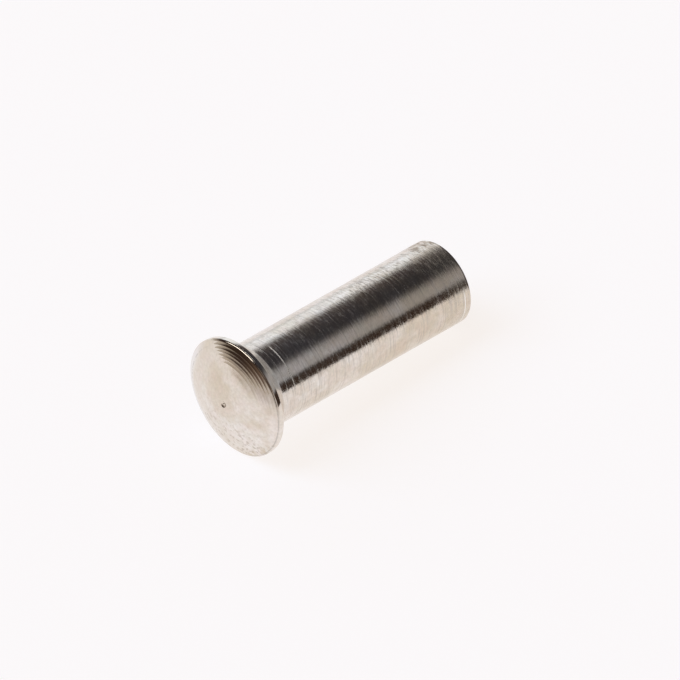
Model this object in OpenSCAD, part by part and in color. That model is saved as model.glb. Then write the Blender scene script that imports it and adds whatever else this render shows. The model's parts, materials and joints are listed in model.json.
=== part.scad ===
// Barrel nut: a sleeve nut with a low domed head and a blind threaded hole, turned in one piece.
// It stands on its open end. The origin is the centre of that end, and +Z points to the head.

/* [Sleeve] */
// Outside diameter of the sleeve
sleeve_d = 7; // [6.6:0.1:9]
// Length of the sleeve, from the open end to the cone under the head
sleeve_length = 20.1; // [18:0.1:40]
// Outside diameter at the open end, at the foot of the lead-in taper
lead_d = 6.9; // [6.2:0.05:6.9]
// Length of the lead-in taper
lead_length = 0.65; // [0.2:0.05:3]

/* [Head] */
// Diameter of the head
head_d = 10; // [9.6:0.1:14]
// Thickness of the head's straight rim
rim_thickness = 0.4; // [0.3:0.05:2]
// Break on both edges of the rim
rim_break = 0.06; // [0.02:0.01:0.12]
// Height of the dome above the rim
dome_height = 1.25; // [0.4:0.05:2.5]
// Included angle of the cone under the head, in degrees
underside_angle = 90; // [80:1:120]

/* [Threaded hole] */
// Diameter of the hole's wall, at the crests of the thread
hole_d = 4.2; // [3.3:0.05:5]
// Depth of the hole at full diameter, from the open end
hole_depth = 16; // [8:0.5:16.5]
// Diameter of the countersink at the mouth
mouth_d = 5.3; // [5.1:0.1:6]
// Included angle of the countersink, in degrees
mouth_angle = 90; // [60:5:120]
// Included angle of the drill point at the hole's bottom, in degrees
drill_angle = 118; // [90:1:140]

/* [Centre mark] */
// Diameter of the small hollow in the middle of the dome
mark_d = 0.36; // [0.2:0.02:1]
// Depth of that hollow
mark_depth = 0.06; // [0.02:0.01:0.1]

/* [Hidden] */
$fn = 96;
sleeve_r = sleeve_d / 2;
head_r = head_d / 2;
rim_low = sleeve_length + (head_r - sleeve_r) / tan(underside_angle / 2);
rim_top = rim_low + rim_thickness;
// The break on the rim's lower edge follows the cone, so both of its legs are as long as rim_break.
break_in = rim_break * sin(underside_angle / 2);
break_down = rim_break * cos(underside_angle / 2);
dome_seat_r = head_r - rim_break;
dome_top = rim_top + dome_height;
dome_r = (pow(dome_seat_r, 2) + pow(dome_height, 2)) / (2 * dome_height);
mouth_depth = (mouth_d - hole_d) / 2 / tan(mouth_angle / 2);
drill_point = hole_d / 2 / tan(drill_angle / 2);
mark_r = (pow(mark_d / 2, 2) + pow(mark_depth, 2)) / (2 * mark_depth);
margin = 0.1;

// The straight sleeve, with its lead-in taper at the open end.
module sleeve() {
    rotate_extrude()
        polygon([
            [0, 0],
            [lead_d / 2, 0],
            [sleeve_r, lead_length],
            [sleeve_r, sleeve_length],
            [0, sleeve_length],
        ]);
}

// The head is turned with a cone below and a straight rim, and one sphere rounds its top.
module head() {
    intersection() {
        rotate_extrude()
            polygon([
                [0, sleeve_length],
                [sleeve_r, sleeve_length],
                [head_r - break_in, rim_low - break_down],
                [head_r, rim_low + rim_break],
                [head_r, rim_top - rim_break],
                [dome_seat_r - dome_height - margin, dome_top + margin],
                [0, dome_top + margin],
            ]);
        translate([0, 0, dome_top - dome_r])
            sphere(r = dome_r);
    }
}

// The drilled and tapped hole: countersunk mouth, straight wall and the drill's point.
module threaded_hole() {
    rotate_extrude()
        polygon([
            [0, -margin],
            [mouth_d / 2 + margin * tan(mouth_angle / 2), -margin],
            [hole_d / 2, mouth_depth],
            [hole_d / 2, hole_depth],
            [0, hole_depth + drill_point],
        ]);
}

// The small hollow that the parting tool leaves in the middle of the dome.
module centre_mark() {
    translate([0, 0, dome_top - mark_depth + mark_r])
        sphere(r = mark_r);
}

module barrel_nut() {
    color([0.77, 0.74, 0.70])
        difference() {
            union() {
                sleeve();
                head();
            }
            threaded_hole();
            centre_mark();
        }
}

barrel_nut();
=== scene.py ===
"""The dressed barrel nut: turned, tapped and nickel plated, seen lying on a white sheet."""
import json
import math

import bpy
from mathutils import Matrix, Vector


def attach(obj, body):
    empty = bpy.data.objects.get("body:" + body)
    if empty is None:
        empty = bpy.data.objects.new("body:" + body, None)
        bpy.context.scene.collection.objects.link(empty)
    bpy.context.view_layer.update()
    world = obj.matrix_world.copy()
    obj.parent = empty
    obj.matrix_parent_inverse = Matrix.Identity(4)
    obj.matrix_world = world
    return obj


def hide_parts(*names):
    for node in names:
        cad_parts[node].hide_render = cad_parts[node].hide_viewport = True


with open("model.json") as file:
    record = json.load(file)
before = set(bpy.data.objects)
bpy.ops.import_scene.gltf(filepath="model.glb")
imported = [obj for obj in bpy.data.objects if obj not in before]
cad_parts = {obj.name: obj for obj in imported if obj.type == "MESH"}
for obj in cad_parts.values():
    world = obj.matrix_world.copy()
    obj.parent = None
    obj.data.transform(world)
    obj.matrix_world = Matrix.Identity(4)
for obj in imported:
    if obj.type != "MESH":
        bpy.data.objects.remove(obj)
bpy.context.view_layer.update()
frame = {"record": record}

# ---------------------------------------------------------------- sizes of the nut, in metres
MM = 0.001
MOUNTS = {m["name"]: m for m in frame["record"]["mounts"]}
HOLE = MOUNTS["thread"]["dims"]
SLEEVE_R = MOUNTS["sleeve"]["dims"]["r_mm"] * MM
# The solid's head has a radius of 5 mm, and this one stays just inside its facets.
HEAD_R = 4.994 * MM
RIM_THICKNESS = 0.4 * MM
DOME_HEIGHT = 1.25 * MM
RIM_TOP = 22.0 * MM
RIM_LOW = RIM_TOP - RIM_THICKNESS
CONE_SLOPE = math.radians(45)
SLEEVE_TOP = RIM_LOW - (HEAD_R - SLEEVE_R)
LEAD_R = 3.45 * MM
LEAD_LENGTH = 0.65 * MM
HOLE_R = HOLE["r_mm"] * MM
MOUTH_DEPTH = MOUNTS["thread"]["pos_m"][2]
HOLE_END = MOUTH_DEPTH + HOLE["length_mm"] * MM
MOUTH_R = HOLE_R + MOUTH_DEPTH
DRILL_ANGLE = math.radians(118)

# The dome, whose sphere meets the rim where the rim's edge break starts.
EDGE_BREAK = 0.06 * MM
DOME_SEAT_R = HEAD_R - EDGE_BREAK
DOME_R = (DOME_SEAT_R**2 + DOME_HEIGHT**2) / (2 * DOME_HEIGHT)
DOME_CENTRE = RIM_TOP + DOME_HEIGHT - DOME_R

# The M5 thread inside: its pitch, root and flanks, its turns and the steps in each, and how far the cutter
# starts inside the hole's wall.
PITCH = 0.8 * MM
THREAD_ROOT_R = 2.5 * MM
THREAD_ROOT_FLAT = PITCH / 8
THREAD_FLANK = math.radians(30)
THREAD_TURNS = 18
THREAD_STEPS = 64
THREAD_OVERLAP = 0.1 * MM

# ---------------------------------------------------------------- the room that the nut lies in
# Lying down, the nut touches the sheet with its rim and with the edge of its open end.
LEAN = math.atan((HEAD_R - LEAD_R) / RIM_LOW)
# How steeply the camera looks down, how far the nut's axis is turned from the camera's right, and the side of
# the standing nut that it lies on.
VIEW_HEIGHT = math.radians(41.7)
NUT_TURN = math.radians(43.95)
TOUCH_SIDE = math.radians(135)
SHEET_HALF = 105 * MM
SHEET_CELLS = 8
# The open end's rounded edge reaches past the line from its foot to the rim, so the sheet lies lower.
SHEET_GAP = 0.045 * MM
# The camera's long lens gives almost no perspective. PIXEL is the length at the nut that one pixel covers.
PIXEL = MM / 13.01
LENS = 1500
SENSOR = 36
FRAME_WIDTH = 680 * PIXEL
VIEW_DISTANCE = FRAME_WIDTH * LENS / SENSOR
CLIP_START = 0.01
CLIP_END = 10
# The middle of the rim's top lies this far left of the picture's middle, and below it.
HEAD_LEFT = 105.1 * PIXEL
HEAD_DOWN = 57.8 * PIXEL


def room_axes():
    """The room's right, ahead and up, as seen by the camera, in the nut's own standing frame."""
    outward = Vector((-math.cos(TOUCH_SIDE), -math.sin(TOUCH_SIDE), 0))
    up = outward * math.cos(LEAN) + Vector((0, 0, math.sin(LEAN)))
    along = (Vector((0, 0, -1)) + up * math.sin(LEAN)).normalized()
    right = Matrix.Rotation(-NUT_TURN, 3, up) @ along
    return right, up.cross(right), up


RIGHT, AHEAD, UP = room_axes()
TOUCH = Vector((math.cos(TOUCH_SIDE) * HEAD_R, math.sin(TOUCH_SIDE) * HEAD_R, RIM_LOW))
TO_VIEWER = UP * math.sin(VIEW_HEIGHT) - AHEAD * math.cos(VIEW_HEIGHT)


def round_the_nut(degrees):
    """A level direction from the axis: 0 faces the viewer, and it grows towards the sheet."""
    facing = Vector((TO_VIEWER.x, TO_VIEWER.y, 0)).normalized()
    downward = facing.cross(Vector((0, 0, 1)))
    if downward.dot(UP) > 0:
        downward.negate()
    angle = math.radians(degrees)
    return facing * math.cos(angle) + downward * math.sin(angle)


# ---------------------------------------------------------------- modelling helpers
# Points closer than MERGE are one point. What the boolean leaves that is smaller than SLIVER is cleared.
MERGE = 0.0002 * MM
SLIVER = 0.001 * MM
LATHE_STEPS = 192


def deselect_all():
    """An operator acts on all that is selected, so each piece starts from nothing."""
    bpy.ops.object.select_all(action="DESELECT")


def trace_line(name, points):
    """A chain of edges in the XZ plane: a plane merged to one vertex, which is extruded along the points."""
    deselect_all()
    bpy.ops.mesh.primitive_plane_add(size=MM, location=(0, 0, 0))
    piece = bpy.context.object
    piece.name = name
    bpy.ops.object.mode_set(mode="EDIT")
    bpy.ops.mesh.select_all(action="SELECT")
    bpy.ops.mesh.merge(type="CENTER")
    last = points[0]
    bpy.ops.transform.translate(value=(last[0], 0, last[1]))
    for point in points[1:]:
        step = (point[0] - last[0], 0, point[1] - last[1])
        bpy.ops.mesh.extrude_vertices_move(TRANSFORM_OT_translate={"value": step})
        last = point
    bpy.ops.object.mode_set(mode="OBJECT")
    return piece


def arc(centre, radius, start, end, steps):
    """Points on an arc in the XZ plane, with its angles measured from +X towards +Z."""
    angles = [start + (end - start) * i / steps for i in range(steps + 1)]
    return [(centre[0] + radius * math.cos(a), centre[1] + radius * math.sin(a)) for a in angles]


def evenly(start, end, spacing):
    """Values from start to end, in equal steps that come nearest to the spacing."""
    count = round((end - start) / spacing)
    return [start + (end - start) * i / count for i in range(count + 1)]


def merge_and_turn_out():
    """In edit mode: merges what coincides and points every face outwards."""
    bpy.ops.mesh.select_all(action="SELECT")
    bpy.ops.mesh.remove_doubles(threshold=MERGE)
    bpy.ops.mesh.normals_make_consistent(inside=False)


# ---------------------------------------------------------------- the nut's outline
# The hollow in the middle of the dome, with the nib that the parting tool left: radius and depth as shares.
MARK_R = 0.33 * MM
MARK_DEPTH = 0.07 * MM
MARK_SHAPE = [(0, 0.1), (0.15, 0.2), (0.3, 0.7), (0.45, 1), (0.6, 1), (0.75, 0.75), (0.9, 0.2), (1, 0)]
MARK_PLACE = Vector((0, 0, RIM_TOP + DOME_HEIGHT))

# The turning tool's round tip left scallops on the outer part of the dome: where each one starts, and its
# steepest slope. The last one rolls off into the rim: its curvature, and the radius where the face ends.
SCALLOPS = [
    (3.01 * MM, 0.030),
    (3.45 * MM, 0.042),
    (3.70 * MM, 0.030),
    (3.88 * MM, 0.062),
    (4.12 * MM, 0.050),
    (4.33 * MM, 0.095),
    (4.58 * MM, 0.085),
    (4.81 * MM, 0.0),
]
ROLL_OFF = 1.1 / MM
FACE_R = 4.892 * MM
# Spacing of the outline's points on the plain dome and on the scallops.
DOME_SPACING = 0.18 * MM
SCALLOP_SPACING = 0.0245 * MM

# The small step that the tool left near the edge: each move outwards and down, in millimetres. A narrow ledge
# and the corner to the rim's straight side follow.
EDGE_STEP = [(0.005, 0.0035), (0.016, 0.024), (0.005, 0.003)]
LEDGE_STEEP = math.radians(29)
FRONT_ROUND = 0.008 * MM
REAR_ROUND = 0.05 * MM
ROUND_STEPS = 4

# The shallow grooves round the sleeve, from the head to the open end: height, width and depth in millimetres.
# The second one is the scratch that stands out.
SCRATCH_HEIGHT = 18.78
GROOVES = [
    (19.5, 0.06, 0.004),
    (SCRATCH_HEIGHT, 0.08, 0.002),
    (18.2, 0.05, 0.003),
    (15.75, 0.04, 0.002),
    (15.5, 0.04, 0.002),
    (12.6, 0.06, 0.002),
    (9.3, 0.04, 0.0015),
    (6.2, 0.06, 0.002),
]
# A groove's section, as shares of its width and depth, and the plain strips that keep its shading narrow.
GROOVE_SHAPE = [(0.5, 0), (0.4, 0.15), (0.2, 0.85), (0, 1), (-0.2, 0.85), (-0.4, 0.15), (-0.5, 0)]
SUPPORT = 0.01 * MM

# The turned line where the lead-in starts: height from there and depth, in millimetres. Below it, the sleeve
# is a little thinner, and the end's edge is rolled.
LEAD_LINE = [(0.06, 0), (0.05, 0), (0.02, 0.005), (-0.02, 0.005), (-0.05, 0.002), (-0.06, 0.002)]
LEAD_DEPTH = 0.005 * MM
END_DEPTH = 0.006 * MM
END_ROUND = 0.11 * MM
END_STRAIGHT = 0.06 * MM
END_STEPS = 5


def dome_height_at(radius):
    """The height of the plain dome."""
    return DOME_CENTRE + math.sqrt(DOME_R**2 - radius**2)


def ripple(radius):
    """How far the scallops lie below the dome: each is a shallow arc between two sharp crests."""
    last = SCALLOPS[-1][0]
    if radius >= last:
        return -ROLL_OFF * (radius - last) ** 2 / 2
    for (start, slope), (end, _) in zip(SCALLOPS, SCALLOPS[1:]):
        if start <= radius < end:
            shade_across = (radius - start) / (end - start)
            return slope * (end - start) / 4 * ((2 * shade_across - 1) ** 2 - 1)
    return 0.0


def dome_points():
    """From the middle of the dome to the edge of its face: the hollow, the plain dome and the scallops."""
    start = SCALLOPS[0][0]
    radii = evenly(MARK_R, start, DOME_SPACING)[1:-1] + evenly(start, FACE_R, SCALLOP_SPACING)
    hollow = [(MARK_R * r, dome_height_at(MARK_R * r) - MARK_DEPTH * d) for r, d in MARK_SHAPE]
    return hollow + [(r, dome_height_at(r) + ripple(r)) for r in radii]


def rim_points(face_edge):
    """From the edge of the face to the cone: the step, the ledge and the rim's two corners."""
    points = [face_edge]
    for out, down in EDGE_STEP:
        points.append((points[-1][0] + out * MM, points[-1][1] - down * MM))
    corner = HEAD_R - FRONT_ROUND + FRONT_ROUND * math.sin(LEDGE_STEEP)
    drop = (corner - points[-1][0]) * math.tan(LEDGE_STEEP) + FRONT_ROUND * math.cos(LEDGE_STEEP)
    front = (HEAD_R - FRONT_ROUND, points[-1][1] - drop)
    rear = (HEAD_R - REAR_ROUND, RIM_LOW + REAR_ROUND * math.tan(CONE_SLOPE / 2))
    points += arc(front, FRONT_ROUND, math.pi / 2 - LEDGE_STEEP, 0, ROUND_STEPS)
    points += arc(rear, REAR_ROUND, 0, -CONE_SLOPE, ROUND_STEPS)
    return points[1:]


def groove(height, width, depth):
    """A shallow turned groove round the sleeve, from its upper edge to its lower edge."""
    upper = (SLEEVE_R, height + width / 2 + SUPPORT)
    lower = (SLEEVE_R, height - width / 2 - SUPPORT)
    return [upper] + [(SLEEVE_R - depth * d, height + width * s) for s, d in GROOVE_SHAPE] + [lower]


def outline():
    """The nut's whole section, from the middle of the dome round the outside and up the hole to its tip."""
    points = dome_points()
    points += rim_points(points[-1])
    points.append((SLEEVE_R, SLEEVE_TOP))
    for height, width, depth in GROOVES:
        points += groove(height * MM, width * MM, depth * MM)
    points += [(SLEEVE_R - depth * MM, LEAD_LENGTH + height * MM) for height, depth in LEAD_LINE]
    points.append((SLEEVE_R - LEAD_DEPTH, END_ROUND + END_STRAIGHT))
    points += arc((SLEEVE_R - END_DEPTH - END_ROUND, END_ROUND), END_ROUND, 0, -math.pi / 2, END_STEPS)
    points += [
        (MOUTH_R, 0),
        (HOLE_R, MOUTH_DEPTH),
        (HOLE_R, HOLE_END),
        (0, HOLE_END + HOLE_R / math.tan(DRILL_ANGLE / 2)),
    ]
    return points


# ---------------------------------------------------------------- turning the nut and cutting its thread
def turned_nut():
    """The outline, spun round the axis."""
    nut = trace_line("dressed_nut", outline())
    bpy.ops.object.mode_set(mode="EDIT")
    bpy.ops.mesh.select_all(action="SELECT")
    bpy.ops.mesh.spin(steps=LATHE_STEPS, angle=2 * math.pi, center=(0, 0, 0), axis=(0, 0, 1))
    merge_and_turn_out()
    bpy.ops.object.mode_set(mode="OBJECT")
    return nut


def thread_cutter():
    """A closed helical bar with the thread's section: the space that the tap cuts beyond the hole's wall."""
    inside = HOLE_R - THREAD_OVERLAP
    half_root = THREAD_ROOT_FLAT / 2
    half_base = half_root + (THREAD_ROOT_R - inside) * math.tan(THREAD_FLANK)
    low = -PITCH
    section = [
        (inside, low - half_base),
        (THREAD_ROOT_R, low - half_root),
        (THREAD_ROOT_R, low + half_root),
        (inside, low + half_base),
        (inside, low - half_base),
    ]
    cutter = trace_line("thread_cutter", section)
    bpy.ops.object.mode_set(mode="EDIT")
    bpy.ops.mesh.select_all(action="SELECT")
    bpy.ops.mesh.remove_doubles(threshold=MERGE)
    bpy.ops.object.mode_set(mode="OBJECT")
    turns = cutter.modifiers.new("turns", "SCREW")
    turns.axis = "Z"
    turns.screw_offset = PITCH
    turns.iterations = THREAD_TURNS + 1
    turns.steps = THREAD_STEPS
    turns.render_steps = THREAD_STEPS
    bpy.ops.object.modifier_apply(modifier=turns.name)
    bpy.ops.object.mode_set(mode="EDIT")
    bpy.ops.mesh.select_all(action="SELECT")
    bpy.ops.mesh.fill_holes(sides=0)
    merge_and_turn_out()
    bpy.ops.object.mode_set(mode="OBJECT")
    return cutter


def cut_away(piece, cutter):
    """Takes the cutter's volume out of the piece, removes the cutter and clears the slivers along the cut."""
    deselect_all()
    piece.select_set(True)
    bpy.context.view_layer.objects.active = piece
    cut = piece.modifiers.new("cut", "BOOLEAN")
    cut.operation = "DIFFERENCE"
    cut.solver = "EXACT"
    cut.object = cutter
    bpy.ops.object.modifier_apply(modifier=cut.name)
    bpy.data.objects.remove(cutter)
    bpy.ops.object.mode_set(mode="EDIT")
    bpy.ops.mesh.select_all(action="SELECT")
    bpy.ops.mesh.dissolve_degenerate(threshold=SLIVER)
    bpy.ops.mesh.remove_doubles(threshold=SLIVER)
    bpy.ops.object.mode_set(mode="OBJECT")


# ---------------------------------------------------------------- node helpers
class Nodes:
    """A shorthand for adding nodes to one tree and joining them."""

    def __init__(self, tree):
        self.tree = tree

    def add(self, kind, **settings):
        node = self.tree.nodes.new(kind)
        for key, value in settings.items():
            setattr(node, key, value)
        return node

    def join(self, source, target):
        if hasattr(source, "is_output"):
            self.tree.links.new(source, target)
        else:
            target.default_value = source

    def math(self, operation, *values, clamp=False):
        node = self.add("ShaderNodeMath", operation=operation, use_clamp=clamp)
        for socket, value in zip(node.inputs, values):
            self.join(value, socket)
        return node.outputs[0]

    def scale(self, value, times, plus):
        return self.math("MULTIPLY_ADD", value, times, plus)

    def both(self, first, *others):
        """Where all of the masks are: their product."""
        for other in others:
            first = self.math("MULTIPLY", first, other)
        return first

    def dot(self, vector, axis):
        node = self.add("ShaderNodeVectorMath", operation="DOT_PRODUCT")
        self.join(vector, node.inputs[0])
        node.inputs[1].default_value = axis
        return node.outputs["Value"]

    def smooth(self, value, low, high, at_low=0.0, at_high=1.0):
        node = self.add("ShaderNodeMapRange", interpolation_type="SMOOTHSTEP")
        self.join(value, node.inputs["Value"])
        for name, number in zip(("From Min", "From Max", "To Min", "To Max"), (low, high, at_low, at_high)):
            node.inputs[name].default_value = number
        return node.outputs["Result"]

    def mix(self, share, first, second):
        node = self.add("ShaderNodeMix", data_type="RGBA")
        for socket, value in zip((node.inputs[0], node.inputs[6], node.inputs[7]), (share, first, second)):
            self.join(value, socket)
        return node.outputs[2]

    def combine(self, x, y, z):
        node = self.add("ShaderNodeCombineXYZ")
        for socket, value in zip(node.inputs, (x, y, z)):
            self.join(value, socket)
        return node.outputs[0]

    def spread(self, size):
        """The point's place on the piece, with this size as the unit."""
        node = self.add("ShaderNodeVectorMath", operation="SCALE")
        self.join(self.add("ShaderNodeTexCoord").outputs["Object"], node.inputs[0])
        self.join(self.math("DIVIDE", 1.0, size), node.inputs["Scale"])
        return node.outputs[0]

    def noise(self, vector, scale, detail, roughness=0.5):
        node = self.add("ShaderNodeTexNoise")
        self.join(vector, node.inputs["Vector"])
        node.inputs["Scale"].default_value = scale
        node.inputs["Detail"].default_value = detail
        node.inputs["Roughness"].default_value = roughness
        return node.outputs["Fac"]

    def evened(self, noise):
        """A noise's middle values, drawn out to the whole range."""
        return self.smooth(noise, 0.35, 0.65)


def fresh_material(name):
    """An empty material, the helper that fills it, and its output."""
    material = bpy.data.materials.new(name)
    material.use_nodes = True
    material.node_tree.nodes.clear()
    nodes = Nodes(material.node_tree)
    return material, nodes, nodes.add("ShaderNodeOutputMaterial")


# ---------------------------------------------------------------- effects that the finishes share
# How fast a line's place changes outwards, next to its change along the axis: it keeps lines on the cone too.
OUTWARD_SHARE = 1.7
# Closer to the axis than this, a line has no direction.
AXIS_R = 0.02 * MM
# How often the slow change from line to line comes round, as a share of the lines' own.
SLOW_SHARE = 0.45
# How steeply a pit's mask comes up from its edge.
PIT_CONTRAST = 9.0


def effect(name, inputs, outputs):
    """An empty node group with named inputs and outputs, and the helper that fills it."""
    group = bpy.data.node_groups.new(name, "ShaderNodeTree")
    for label, kind in inputs:
        group.interface.new_socket(name=label, in_out="INPUT", socket_type=kind)
    for label, kind in outputs:
        group.interface.new_socket(name=label, in_out="OUTPUT", socket_type=kind)
    nodes = Nodes(group)
    return group, nodes, nodes.add("NodeGroupInput").outputs, nodes.add("NodeGroupOutput").inputs


def place(nodes, group, **values):
    """One use of an effect in a material, with its own values."""
    node = nodes.add("ShaderNodeGroup", node_tree=group)
    for name, value in values.items():
        nodes.join(value, node.inputs[name])
    return node.outputs


def turned_lines():
    """Fine lines that run round the axis: their height, and how each one stands out from its neighbours."""
    group, nodes, given, out = effect(
        "turned_lines",
        [("Spacing", "NodeSocketFloat"), ("Run", "NodeSocketFloat")],
        [("Height", "NodeSocketFloat"), ("Shade", "NodeSocketFloat")],
    )
    split = nodes.add("ShaderNodeSeparateXYZ")
    nodes.join(nodes.add("ShaderNodeTexCoord").outputs["Object"], split.inputs[0])
    x, y, z = split.outputs
    squares = nodes.math("ADD", nodes.math("MULTIPLY", x, x), nodes.math("MULTIPLY", y, y))
    radius = nodes.math("MAXIMUM", nodes.math("SQRT", squares), AXIS_R)
    along = nodes.math("SUBTRACT", nodes.math("MULTIPLY", radius, OUTWARD_SHARE), z)
    line = nodes.math("DIVIDE", along, given["Spacing"])
    turn_x = nodes.math("MULTIPLY", nodes.math("DIVIDE", x, radius), given["Run"])
    turn_y = nodes.math("MULTIPLY", nodes.math("DIVIDE", y, radius), given["Run"])
    quick = nodes.combine(line, turn_x, turn_y)
    nodes.join(nodes.noise(quick, 1.0, detail=2.5, roughness=0.6), out["Height"])
    slow = nodes.combine(nodes.math("MULTIPLY", line, SLOW_SHARE), turn_y, turn_x)
    nodes.join(nodes.evened(nodes.noise(slow, 1.0, detail=2.0)), out["Shade"])
    return group


def small_pits():
    """Small ragged pits and specks, thinly spread: 1 inside each."""
    group, nodes, given, out = effect(
        "small_pits",
        [("Distance", "NodeSocketFloat"), ("Level", "NodeSocketFloat")],
        [("Mask", "NodeSocketFloat")],
    )
    ragged = nodes.noise(nodes.spread(given["Distance"]), 1.0, detail=2.5, roughness=0.55)
    above = nodes.math("SUBTRACT", ragged, given["Level"])
    nodes.join(nodes.math("MULTIPLY", above, PIT_CONTRAST, clamp=True), out["Mask"])
    return group


def blotches():
    """Soft uneven patches, as tarnish and handling leave: a slow one and a finer one."""
    group, nodes, given, out = effect(
        "blotches",
        [("Size", "NodeSocketFloat")],
        [("Slow", "NodeSocketFloat"), ("Fine", "NodeSocketFloat")],
    )
    spread = nodes.spread(given["Size"])
    nodes.join(nodes.evened(nodes.noise(spread, 0.55, detail=3.0, roughness=0.55)), out["Slow"])
    nodes.join(nodes.evened(nodes.noise(spread, 2.3, detail=3.0, roughness=0.6)), out["Fine"])
    return group


# ---------------------------------------------------------------- the finishes
NICKEL_FRESH = (0.878, 0.836, 0.798, 1)
NICKEL_DULL = (0.695, 0.602, 0.486, 1)
NICKEL_STAIN = (0.60, 0.50, 0.37, 1)
NICKEL_ROSE = (0.78, 0.62, 0.55, 1)
NICKEL_GREEN = (0.68, 0.66, 0.52, 1)
NICKEL_WORN_AND_SHEEN = (0.93, 0.91, 0.88, 1)
NICKEL_COOL = (0.87, 0.865, 0.875, 1)
DIRT_AND_SHADE = (0.16, 0.11, 0.07, 1)
PIT_BROWN = (0.36, 0.28, 0.21, 1)
EDGE_BROWN = (0.07, 0.035, 0.025, 1)
SCUFF_GREY = (0.42, 0.39, 0.36, 1)
WALL_BRIGHT = (0.56, 0.50, 0.42, 1)
WALL_DARK = (0.44, 0.38, 0.31, 1)

# What each mark is painted with, and how much of the plating it covers at its strongest.
PAINT = {
    "stain": (NICKEL_STAIN, 0.28),
    "rose tint": (NICKEL_ROSE, 0.20),
    "green tint": (NICKEL_GREEN, 0.14),
    "dull spots": (SCUFF_GREY, 0.15),
    "streaks": (SCUFF_GREY, 0.22),
    "scratch": (NICKEL_WORN_AND_SHEEN, 0.7),
    "long lines": (SCUFF_GREY, 0.38),
    "grey flecks": (SCUFF_GREY, 0.42),
    "white flecks": (NICKEL_WORN_AND_SHEEN, 0.45),
    "torn plating": (PIT_BROWN, 0.75),
    "end dirt": (EDGE_BROWN, 0.9),
    "lead-in line": (NICKEL_WORN_AND_SHEEN, 0.8),
    "brown haze": (NICKEL_STAIN, 0.24),
    "left stain": (NICKEL_STAIN, 0.32),
    "clean side": (NICKEL_WORN_AND_SHEEN, 0.16),
    "low stain": (NICKEL_STAIN, 0.7),
    "cool ring": (NICKEL_COOL, 0.65),
    "inner line": (SCUFF_GREY, 0.40),
    "edge line": (SCUFF_GREY, 0.55),
    "hollow dirt": (DIRT_AND_SHADE, 0.7),
    "thread dirt": (DIRT_AND_SHADE, 0.25),
}

# Which side each mark is on, in round_the_nut's degrees, and how far that way it fades in and is full, as
# shares of the radius.
SCUFFED_SIDE = (-75, 0.80, 0.97)
SCRATCH_SIDE = (-8, 0.82, 0.93)
FLECKED_SIDE = (-56, 0.93, 0.99)
TORN_SIDE = (-70, 0.93, 0.99)
DARK_END_SIDE = (-8, 0.76, 0.86)
LEAD_HIGHLIGHT_SIDE = (55, 0.80, 0.97)
PITTED_SIDE = (140, 0.10, 0.75)
HAZE_SIDE = (140, 0.55, 0.95)
LEFT_SIDE = (178, 0.22, 0.62)
CLEAN_SIDE = (-115, 0.15, 0.75)
LOW_SIDE = (101, 0.82, 0.93)
COOL_SIDE = (-140, 0.50, 0.85)
INNER_LINE_SIDE = (-150, 0.30, 0.70)
EDGE_SHADE_SIDE = (60, 0.40, 0.70)
RIM_SHEEN_SIDE = (-75, -0.3, 0.75)
HOLLOW_SIDE = (95, -0.5, 0.2)

# The heights between which marks come up along the sleeve, from where they are weakest.
TARNISH_RISE = (20 * MM, 2 * MM)
FLECK_RISE = (14 * MM, 9 * MM)
TORN_RISE = (2.4 * MM, 1.2 * MM)
DULL_END_RISE = (4.5 * MM, 1 * MM)
LINE_DEPTH_RISE = (18 * MM, 8 * MM)
# The dark line at the open end's edge fades out between these heights.
DARK_END_FADE = (0.10 * MM, 0.22 * MM)

# Painted shading across the head, duller away from the sheet and brighter towards it: its direction, its
# change over the radius, and its middle.
SHADE_ACROSS_SIDE = -53
SHADE_ACROSS_CHANGE = 0.62
SHADE_ACROSS_MIDDLE = 0.26

# Half widths of the lines and rings, and how far two of them lie inside the head's edge.
SCRATCH_HALF = 0.065 * MM
LEAD_HIGHLIGHT_HALF = 0.07 * MM
COOL_RING_HALF = 0.95 * MM
INNER_LINE_HALF = 0.09 * MM
INNER_LINE_IN = 0.50 * MM
EDGE_SHADE_HALF = 0.07 * MM
EDGE_SHADE_IN = 0.13 * MM

# Depths of the bumps, and how rough the smooth face is.
LINE_DEPTHS = {"short": 0.0125 * MM, "long": 0.006 * MM, "fine": 0.004 * MM}
PIT_DEPTH = 0.008 * MM
THREAD_LINE_DEPTH = 0.004 * MM
FACE_ROUGH = 0.055
# Zones of the nut run into each other over this height.
ZONE_FADE = 0.05 * MM


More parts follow.
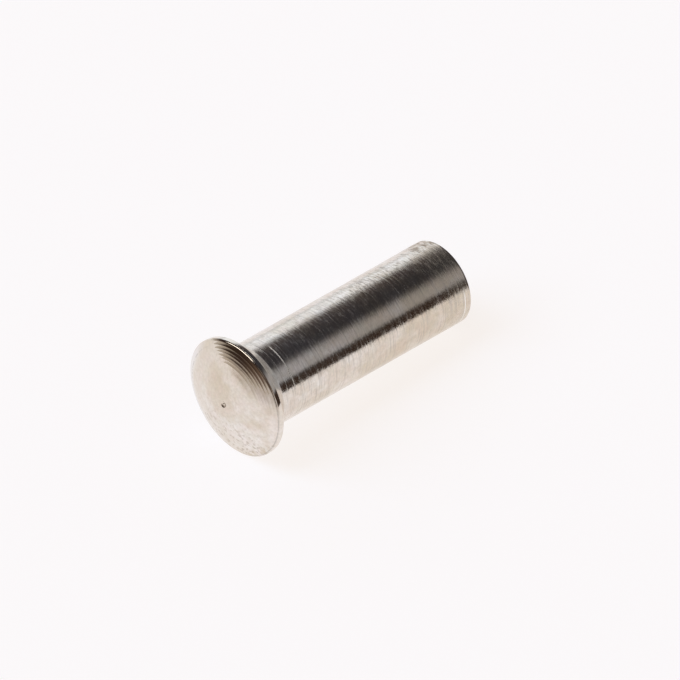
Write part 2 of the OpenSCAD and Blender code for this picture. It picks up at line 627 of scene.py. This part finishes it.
class Spot:
    """Where a point of the nut is: its height, its distance from the axis and the zone that it belongs to."""

    def __init__(self, nodes):
        self.nodes = nodes
        self.point = nodes.add("ShaderNodeTexCoord").outputs["Object"]
        split = nodes.add("ShaderNodeSeparateXYZ")
        nodes.join(self.point, split.inputs[0])
        x, y, self.height = split.outputs
        squares = nodes.math("ADD", nodes.math("MULTIPLY", x, x), nodes.math("MULTIPLY", y, y))
        self.radius = nodes.math("SQRT", squares)
        self.on_head = nodes.smooth(self.height, SLEEVE_TOP, RIM_LOW)
        self.on_sleeve = nodes.math("SUBTRACT", 1.0, self.on_head)
        self.on_face = nodes.smooth(self.height, RIM_TOP - ZONE_FADE, RIM_TOP)
        above_cone = nodes.smooth(self.height, RIM_LOW, RIM_LOW + ZONE_FADE)
        self.on_rim = nodes.math("SUBTRACT", above_cone, self.on_face)

    def side(self, radius, where):
        """1 on one side of the nut, from 0 on the others."""
        degrees, fades_in, full = where
        that_way = self.nodes.dot(self.point, round_the_nut(degrees) / radius)
        return self.nodes.smooth(that_way, fades_in, full)

    def ring(self, height, half):
        """1 in a narrow ring round the nut at a height."""
        away = self.nodes.math("ABSOLUTE", self.nodes.math("SUBTRACT", self.height, height))
        return self.nodes.smooth(away, half * 0.4, half, 1, 0)

    def circle(self, radius, half):
        """1 in a narrow circle on the head's face."""
        away = self.nodes.math("ABSOLUTE", self.nodes.math("SUBTRACT", self.radius, radius))
        return self.nodes.both(self.nodes.smooth(away, half * 0.3, half, 1, 0), self.on_face)


def metal_shader(nodes, output, anisotropy):
    """The metal itself, whose gloss is drawn out across the turned lines."""
    metal = nodes.add("ShaderNodeBsdfPrincipled")
    metal.inputs["Metallic"].default_value = 1.0
    metal.inputs["Anisotropic"].default_value = anisotropy
    metal.inputs["Anisotropic Rotation"].default_value = 0.25
    tangent = nodes.add("ShaderNodeTangent", direction_type="RADIAL", axis="Z")
    nodes.join(tangent.outputs[0], metal.inputs["Tangent"])
    nodes.join(metal.outputs[0], output.inputs["Surface"])
    return metal


def bump(nodes, height, depth, below=None):
    """The normal of a relief of this depth, over the one below it."""
    node = nodes.add("ShaderNodeBump")
    node.inputs["Strength"].default_value = 1.0
    node.inputs["Distance"].default_value = depth
    nodes.join(height, node.inputs["Height"])
    if below is not None:
        nodes.join(below, node.inputs["Normal"])
    return node.outputs[0]


def painted(nodes, colour, mark, mask):
    """The colour with one mark over it."""
    paint, strength = PAINT[mark]
    return nodes.mix(nodes.both(mask, strength), colour, paint)


def plating(nodes, spot, textures):
    """The plating's colour: fresh by the head, duller towards the open end, less on the scuffed side, with
    painted shading across the head.
    """
    scuffed = nodes.both(spot.side(SLEEVE_R, SCUFFED_SIDE), spot.on_sleeve)
    tarnish_and_shade = nodes.smooth(spot.height, *TARNISH_RISE, 0.15, 0.95)
    tarnish_and_shade = nodes.both(tarnish_and_shade, nodes.scale(scuffed, -0.55, 1.0))
    # Painted shading: the head grows duller towards one side and brighter towards the sheet.
    shade_across = nodes.dot(spot.point, round_the_nut(SHADE_ACROSS_SIDE) / HEAD_R)
    shade_across = nodes.both(nodes.scale(shade_across, SHADE_ACROSS_CHANGE, SHADE_ACROSS_MIDDLE), spot.on_head)
    uneven = nodes.scale(textures["patches"]["Slow"], 0.6, -0.3)
    tarnish_and_shade = nodes.math("ADD", nodes.math("ADD", tarnish_and_shade, uneven), shade_across, clamp=True)
    colour = nodes.mix(tarnish_and_shade, NICKEL_FRESH, NICKEL_DULL)
    colour = painted(nodes, colour, "stain", textures["patches"]["Fine"])
    colour = painted(nodes, colour, "rose tint", textures["spots"]["Slow"])
    colour = painted(nodes, colour, "green tint", nodes.math("SUBTRACT", 1.0, textures["spots"]["Slow"]))
    return painted(nodes, colour, "dull spots", textures["spots"]["Fine"])


def scratch_ring(nodes, spot):
    """The one scratch round the sleeve that stands out, near the head."""
    return nodes.both(spot.ring(SCRATCH_HEIGHT * MM, SCRATCH_HALF), spot.side(SLEEVE_R, SCRATCH_SIDE))


def sleeve_lines(nodes, spot, textures, colour):
    """Greyer turned lines all over the sleeve, and its scratch."""
    streak = nodes.both(textures["short"]["Shade"], nodes.evened(textures["fine"]["Height"]))
    colour = painted(nodes, colour, "streaks", nodes.both(streak, spot.on_sleeve))
    colour = painted(nodes, colour, "scratch", scratch_ring(nodes, spot))
    long = nodes.both(nodes.smooth(textures["long"]["Height"], 0.50, 0.66), spot.on_sleeve)
    return painted(nodes, colour, "long lines", long)


def sleeve_marks(nodes, spot, textures, colour):
    """Scuffs on the sleeve's upper side, a dark line at the open end's edge and a painted highlight along the
    lead-in's line: the colour, and a mask of the scuffs.
    """
    flecked = nodes.both(
        spot.side(SLEEVE_R, FLECKED_SIDE),
        spot.on_sleeve,
        nodes.smooth(spot.height, *FLECK_RISE, 0.15, 1.0),
    )
    grey = nodes.both(flecked, nodes.smooth(textures["short"]["Height"], 0.50, 0.60))
    colour = painted(nodes, colour, "grey flecks", grey)
    white = nodes.both(flecked, nodes.smooth(textures["short"]["Height"], 0.46, 0.38))
    colour = painted(nodes, colour, "white flecks", white)
    torn = nodes.both(
        spot.side(SLEEVE_R, TORN_SIDE),
        nodes.smooth(spot.height, *TORN_RISE),
        nodes.smooth(textures["short"]["Height"], 0.44, 0.56),
    )
    colour = painted(nodes, colour, "torn plating", torn)
    # A dark line painted round the open end's edge, on the side that faces the viewer.
    dark_end = nodes.both(nodes.smooth(spot.height, *DARK_END_FADE, 1, 0), spot.side(SLEEVE_R, DARK_END_SIDE))
    colour = painted(nodes, colour, "end dirt", dark_end)
    # A painted highlight along the turned line where the lead-in starts, on the side towards the sheet.
    lead_highlight = nodes.both(spot.ring(LEAD_LENGTH, LEAD_HIGHLIGHT_HALF), spot.side(SLEEVE_R, LEAD_HIGHLIGHT_SIDE))
    colour = painted(nodes, colour, "lead-in line", lead_highlight)
    return colour, nodes.math("MAXIMUM", grey, torn)


def face_stains(nodes, spot, textures, colour):
    """Pits and stains on the face's low side, and its clean side: the colour, and a mask of the pits."""
    pitted = nodes.both(spot.side(HEAD_R, PITTED_SIDE), spot.on_face)
    pits = nodes.both(textures["pits"]["Mask"], nodes.scale(pitted, 0.48, 0.08))
    colour = nodes.mix(pits, colour, PIT_BROWN)
    haze = nodes.both(spot.side(HEAD_R, HAZE_SIDE), spot.on_face, textures["spots"]["Slow"])
    colour = painted(nodes, colour, "brown haze", haze)
    colour = painted(nodes, colour, "left stain", nodes.both(spot.side(HEAD_R, LEFT_SIDE), spot.on_face))
    colour = painted(nodes, colour, "clean side", nodes.both(spot.side(HEAD_R, CLEAN_SIDE), spot.on_face))
    low = nodes.both(spot.side(HEAD_R, LOW_SIDE), spot.on_face, textures["patches"]["Fine"])
    return painted(nodes, colour, "low stain", low), pits


def hollow_shade(nodes, spot):
    """Painted shade in the hollow round its nib: a dark crescent on the side towards the sheet."""
    from_middle = nodes.add("ShaderNodeVectorMath", operation="DISTANCE")
    nodes.join(spot.point, from_middle.inputs[0])
    from_middle.inputs[1].default_value = MARK_PLACE
    away = from_middle.outputs["Value"]
    return nodes.both(
        nodes.smooth(away, 0.35 * MARK_R, 0.55 * MARK_R),
        nodes.smooth(away, 0.75 * MARK_R, 0.95 * MARK_R, 1, 0),
        spot.side(MARK_R, HOLLOW_SIDE),
    )


def face_lines(nodes, spot, textures, colour):
    """The cool ring and the lines just inside the face's edge, the outer one painted shade, a painted sheen
    on the rim, and painted shade in the hollow.
    """
    cool_ring = nodes.both(spot.circle(HEAD_R, COOL_RING_HALF), spot.side(HEAD_R, COOL_SIDE))
    colour = painted(nodes, colour, "cool ring", cool_ring)
    inner_line = nodes.both(
        spot.circle(HEAD_R - INNER_LINE_IN, INNER_LINE_HALF),
        spot.side(HEAD_R, INNER_LINE_SIDE),
        nodes.smooth(textures["spots"]["Fine"], 0.2, 0.6),
    )
    colour = painted(nodes, colour, "inner line", inner_line)
    # Painted shade: a dark line just inside the head's edge towards the sheet, for the shaded sheet that the
    # edge mirrors.
    edge_shade = nodes.both(
        spot.circle(HEAD_R - EDGE_SHADE_IN, EDGE_SHADE_HALF),
        spot.side(HEAD_R, EDGE_SHADE_SIDE),
        nodes.scale(textures["patches"]["Fine"], 0.5, 0.5),
    )
    colour = painted(nodes, colour, "edge line", edge_shade)
    # A painted sheen on the rim, strongest on its top side, and a little all round.
    rim_sheen = nodes.both(spot.on_rim, spot.side(HEAD_R, RIM_SHEEN_SIDE))
    rim_sheen = nodes.scale(rim_sheen, 0.35, nodes.both(spot.on_rim, 0.12))
    colour = nodes.mix(rim_sheen, colour, NICKEL_WORN_AND_SHEEN)
    return painted(nodes, colour, "hollow dirt", hollow_shade(nodes, spot))


def plated_normal(nodes, spot, textures, pits):
    """The relief of the turned lines, deeper on the sleeve than on the head, and of the pits."""
    share = nodes.scale(spot.on_sleeve, 0.85, 0.15)
    along = nodes.smooth(spot.height, *LINE_DEPTH_RISE, 0.6, 1.0)
    normal = bump(nodes, nodes.both(textures["short"]["Height"], share, along), LINE_DEPTHS["short"])
    for lines in ("long", "fine"):
        normal = bump(nodes, nodes.both(textures[lines]["Height"], share), LINE_DEPTHS[lines], normal)
    return bump(nodes, nodes.math("SUBTRACT", 0.0, pits), PIT_DEPTH, normal)


def nickel_plate(effects):
    """The plated outside, with turned lines, blotches, scuffs and pits."""
    material, nodes, output = fresh_material("nickel_plate")
    metal = metal_shader(nodes, output, 0.5)
    spot = Spot(nodes)
    textures = {
        "short": place(nodes, effects["lines"], Spacing=0.17 * MM, Run=5.0),
        "fine": place(nodes, effects["lines"], Spacing=0.07 * MM, Run=8.0),
        "long": place(nodes, effects["lines"], Spacing=0.13 * MM, Run=1.2),
        "patches": place(nodes, effects["blotches"], Size=1.5 * MM),
        "spots": place(nodes, effects["blotches"], Size=0.55 * MM),
        "pits": place(nodes, effects["pits"], Distance=0.34 * MM, Level=0.535),
    }
    colour = plating(nodes, spot, textures)
    colour = sleeve_lines(nodes, spot, textures, colour)
    colour, scuffs = sleeve_marks(nodes, spot, textures, colour)
    colour, pits = face_stains(nodes, spot, textures, colour)
    nodes.join(face_lines(nodes, spot, textures, colour), metal.inputs["Base Color"])

    dull_lines = nodes.both(nodes.smooth(textures["short"]["Height"], 0.45, 0.72), spot.on_sleeve)
    dull_end = nodes.smooth(spot.height, *DULL_END_RISE)
    rough = FACE_ROUGH
    for mask, more in (
        (spot.on_sleeve, 0.06),
        (dull_lines, 0.15),
        (scuffs, 0.2),
        (scratch_ring(nodes, spot), 0.75),
        (dull_end, 0.09),
        (pits, 0.3),
    ):
        rough = nodes.scale(mask, more, rough)
    nodes.join(rough, metal.inputs["Roughness"])
    nodes.join(plated_normal(nodes, spot, textures, pits), metal.inputs["Normal"])
    return material


def threaded_wall(effects):
    """Inside the hole the plating is thinner: darker, rougher, with the tap's lines along the thread."""
    material, nodes, output = fresh_material("threaded_wall")
    metal = metal_shader(nodes, output, 0.3)
    lines = place(nodes, effects["lines"], Spacing=0.06 * MM, Run=3.0)
    patches = place(nodes, effects["blotches"], Size=1.0 * MM)
    colour = nodes.mix(patches["Slow"], WALL_BRIGHT, WALL_DARK)
    nodes.join(painted(nodes, colour, "thread dirt", lines["Shade"]), metal.inputs["Base Color"])
    nodes.join(nodes.scale(patches["Fine"], 0.15, 0.22), metal.inputs["Roughness"])
    nodes.join(bump(nodes, lines["Height"], THREAD_LINE_DEPTH), metal.inputs["Normal"])
    return material


# ---------------------------------------------------------------- the sheet, the room's light and the camera
SHEET_GLOW = (0.889, 0.824, 0.770, 1)
SHEET_LIT = (0.131, 0.200, 0.303, 1)
SHEET_WHITE = (0.965, 0.947, 0.955, 1)
# Mirrored in the nut, the sheet grows darker towards the viewer, between these distances from the head.
SHEET_FAR = (0.55, 0.465, 0.38, 1)
FAR_START = 9 * MM
FAR_END = 36 * MM


def sheet():
    """The white sheet under the lying nut: seen only from above, so that it hides nothing from below.

    It glows, as on a light table, for the camera and in reflections. The rest of its white is the room's cool
    light, which the nut keeps from it, so that its soft shadow is warm."""
    deselect_all()
    side = 2 * SHEET_HALF
    bpy.ops.mesh.primitive_grid_add(x_subdivisions=SHEET_CELLS, y_subdivisions=SHEET_CELLS, size=side)
    floor = bpy.context.object
    floor.name = "sheet"
    foot = Vector((0, 0, RIM_TOP / 2))
    foot -= UP * ((foot - TOUCH).dot(UP) + SHEET_GAP)
    turn = Matrix((RIGHT, AHEAD, UP)).transposed().to_4x4()
    floor.data.transform(Matrix.Translation(foot) @ turn)
    floor.data.materials.append(sheet_white())


def sheet_white():
    """Lit white paper with a glow, on one side, and nothing on the other."""
    material, nodes, output = fresh_material("sheet_white")
    diffuse = nodes.add("ShaderNodeBsdfDiffuse")
    diffuse.inputs["Color"].default_value = SHEET_LIT
    glow = nodes.add("ShaderNodeEmission")
    path = nodes.add("ShaderNodeLightPath")
    where = nodes.add("ShaderNodeTexCoord").outputs["Object"]
    foot_line = TOUCH.dot(AHEAD)
    far = nodes.smooth(nodes.dot(where, AHEAD), foot_line - FAR_START, foot_line - FAR_END)
    far = nodes.both(far, path.outputs["Is Glossy Ray"])
    nodes.join(nodes.mix(far, SHEET_GLOW, SHEET_FAR), glow.inputs["Color"])
    seen = nodes.math("MAXIMUM", path.outputs["Is Camera Ray"], path.outputs["Is Glossy Ray"])
    nodes.join(seen, glow.inputs["Strength"])
    lit = nodes.add("ShaderNodeAddShader")
    nodes.join(diffuse.outputs[0], lit.inputs[0])
    nodes.join(glow.outputs[0], lit.inputs[1])
    clear = nodes.add("ShaderNodeBsdfTransparent")
    side = nodes.add("ShaderNodeNewGeometry")
    one_way = nodes.add("ShaderNodeMixShader")
    nodes.join(side.outputs["Backfacing"], one_way.inputs[0])
    nodes.join(lit.outputs[0], one_way.inputs[1])
    nodes.join(clear.outputs[0], one_way.inputs[2])
    nodes.join(one_way.outputs[0], output.inputs["Surface"])
    material.cycles.emission_sampling = "NONE"
    return material


# What the nut mirrors. Each patch has its left and right azimuth from the room's back, its low and high edge
# above the sheet, the softness of its sides, of its low edge and of its high edge, all in degrees, and then
# its colour. A later patch covers an earlier one.
ROOM_DARK = (0.0282, 0.0258, 0.0298, 1)
ROOM_PATCHES = {
    "floor beyond the sheet": (-400, 400, -90, 16, 1, 1, 4, (0.045, 0.029, 0.022, 1)),
    "brown foot of the left wall": (-160, -117, 0, 10, 12, 1, 5, (0.150, 0.108, 0.085, 1)),
    "ceiling at the left": (-160, -20, 68, 95, 10, 4, 1, (0.42, 0.41, 0.40, 1)),
    "table at the left": (-150, -50, -90, 0.5, 6, 1, 4, (0.55, 0.50, 0.45, 1)),
    "dim wall above the panel": (10, 72, 44, 62, 8, 3, 6, (0.042, 0.041, 0.047, 1)),
    "dim wall above the backdrop": (-58, 40, 20, 46, 8, 5, 5, (0.080, 0.068, 0.068, 1)),
    "white backdrop": (-58, 20, -90, 31, 8, 1, 8, (0.99, 1.03, 1.08, 1)),
    "backdrop's foot": (-58, 60, -2, 4.5, 8, 2.5, 2.5, (0.70, 0.71, 0.72, 1)),
    "grey panel": (16, 88, -5, 35, 7, 2, 6, (0.50, 0.53, 0.58, 1)),
    "grey panel at the right": (72, 130, 18, 44, 15, 4, 11, (0.385, 0.38, 0.39, 1)),
    "wall behind the viewer, left": (-400, -142, 30, 70, 8, 6, 8, (0.30, 0.295, 0.29, 1)),
    "wall behind the viewer, right": (138, 400, 30, 70, 8, 6, 8, (0.30, 0.295, 0.29, 1)),
    "softbox": (-126, -70, 25, 86, 4, 4, 3, (3.3, 3.3, 3.3, 1)),
}


def lit_patch(nodes, azimuth, height, colour, area):
    """The room's colour with one soft-edged patch over it."""
    left, right, low, high, side_soft, low_soft, high_soft, light = area
    mask = nodes.both(
        nodes.smooth(azimuth, left - side_soft, left + side_soft),
        nodes.smooth(azimuth, right - side_soft, right + side_soft, 1, 0),
        nodes.smooth(height, low - low_soft, low + low_soft),
        nodes.smooth(height, high - high_soft, high + high_soft, 1, 0),
    )
    return nodes.mix(mask, colour, light)


def room_light():
    """The studio round the nut: a white backdrop, grey panels, a softbox above, and dark between."""
    world = bpy.data.worlds.new("studio")
    bpy.context.scene.world = world
    world.use_nodes = True
    world.node_tree.nodes.clear()
    nodes = Nodes(world.node_tree)
    way = nodes.add("ShaderNodeTexCoord").outputs["Generated"]
    right, ahead, up = (nodes.dot(way, axis) for axis in (RIGHT, AHEAD, UP))
    to_degrees = 180 / math.pi
    azimuth = nodes.math("MULTIPLY", nodes.math("ARCTAN2", right, ahead), to_degrees)
    height = nodes.math("MULTIPLY", nodes.math("ARCSINE", up), to_degrees)
    colour = ROOM_DARK
    for area in ROOM_PATCHES.values():
        colour = lit_patch(nodes, azimuth, height, colour, area)
    lights = nodes.add("ShaderNodeBackground")
    nodes.join(colour, lights.inputs["Color"])
    white = nodes.add("ShaderNodeBackground")
    white.inputs["Color"].default_value = SHEET_WHITE
    path = nodes.add("ShaderNodeLightPath")
    choose = nodes.add("ShaderNodeMixShader")
    nodes.join(path.outputs["Is Camera Ray"], choose.inputs[0])
    nodes.join(lights.outputs[0], choose.inputs[1])
    nodes.join(white.outputs[0], choose.inputs[2])
    output = nodes.add("ShaderNodeOutputWorld")
    nodes.join(choose.outputs[0], output.inputs["Surface"])


def camera():
    """A long lens about two metres away, looking down at the lying nut."""
    data = bpy.data.cameras.new("camera")
    data.lens = LENS
    data.sensor_width = SENSOR
    data.clip_start = CLIP_START
    data.clip_end = CLIP_END
    seer = bpy.data.objects.new("camera", data)
    bpy.context.scene.collection.objects.link(seer)
    up = TO_VIEWER.cross(RIGHT)
    target = Vector((0, 0, RIM_TOP)) + RIGHT * HEAD_LEFT + up * HEAD_DOWN
    turn = Matrix((RIGHT, up, TO_VIEWER)).transposed().to_4x4()
    seer.matrix_world = Matrix.Translation(target + TO_VIEWER * VIEW_DISTANCE) @ turn
    bpy.context.scene.camera = seer


# ---------------------------------------------------------------- everything together
SMOOTH_ANGLE = math.radians(28)


def line_hole(piece):
    """Gives the faces of the hole the piece's second material."""
    for face in piece.data.polygons:
        inside = math.hypot(face.center.x, face.center.y) < MOUTH_R and face.center.z > SLIVER
        face.material_index = 1 if inside and face.center.z < RIM_LOW else 0


camera()
room_light()
sheet()
nut = turned_nut()
cut_away(nut, thread_cutter())
bpy.ops.object.shade_smooth_by_angle(angle=SMOOTH_ANGLE)
effects = {"lines": turned_lines(), "pits": small_pits(), "blotches": blotches()}
nut.data.materials.append(nickel_plate(effects))
nut.data.materials.append(threaded_wall(effects))
line_hole(nut)
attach(nut, "root")
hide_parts("barrel_nut")
bpy.context.scene.view_settings.view_transform = "Standard"

bpy.context.view_layer.update()
